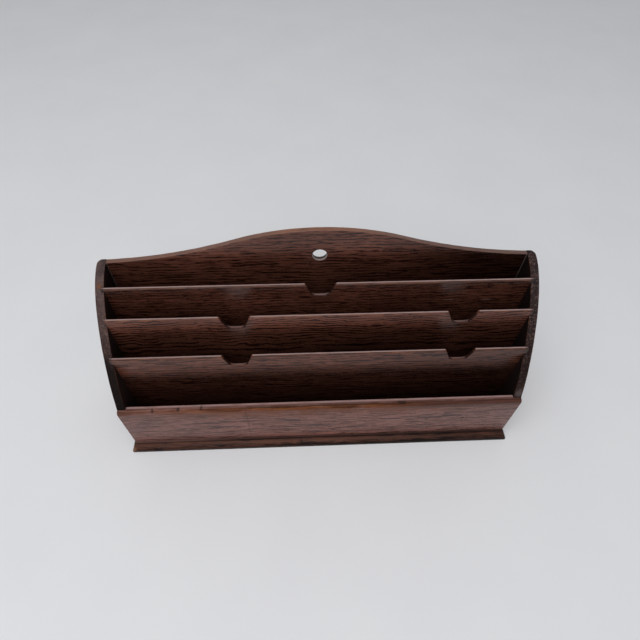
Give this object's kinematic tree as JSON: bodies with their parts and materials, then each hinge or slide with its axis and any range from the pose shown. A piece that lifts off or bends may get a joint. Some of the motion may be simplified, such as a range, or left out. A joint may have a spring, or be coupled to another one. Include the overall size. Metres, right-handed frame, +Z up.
{
  "type": "letter holder",
  "caption": "Stepped wooden letter holder with swept ends, notched dividers housed in grooves, a low front board, a moulded base and a crested back with a hanging hole.",
  "frame": {"origin": "centre of the overall footprint, on the surface it stands on", "axes": "+X to the right as seen from the front, +Y towards the back board, +Z up"},
  "size_m": [0.3836, 0.0968, 0.2105],
  "materials": {
    "stained_oak": "dark reddish-brown stain, worn satin polish",
    "screw_steel": "dull, age-darkened",
    "pin_steel": "dull, age-darkened"
  },
  "bodies": {
    "root": {"base_board": "stained_oak", "front_board": "stained_oak", "left_end": "stained_oak", "right_end": "stained_oak", "front_divider": "stained_oak", "middle_divider": "stained_oak", "rear_divider": "stained_oak", "back_board": "stained_oak", "base_screws": "screw_steel", "back_pins": "pin_steel"}
  },
  "joints": []
}
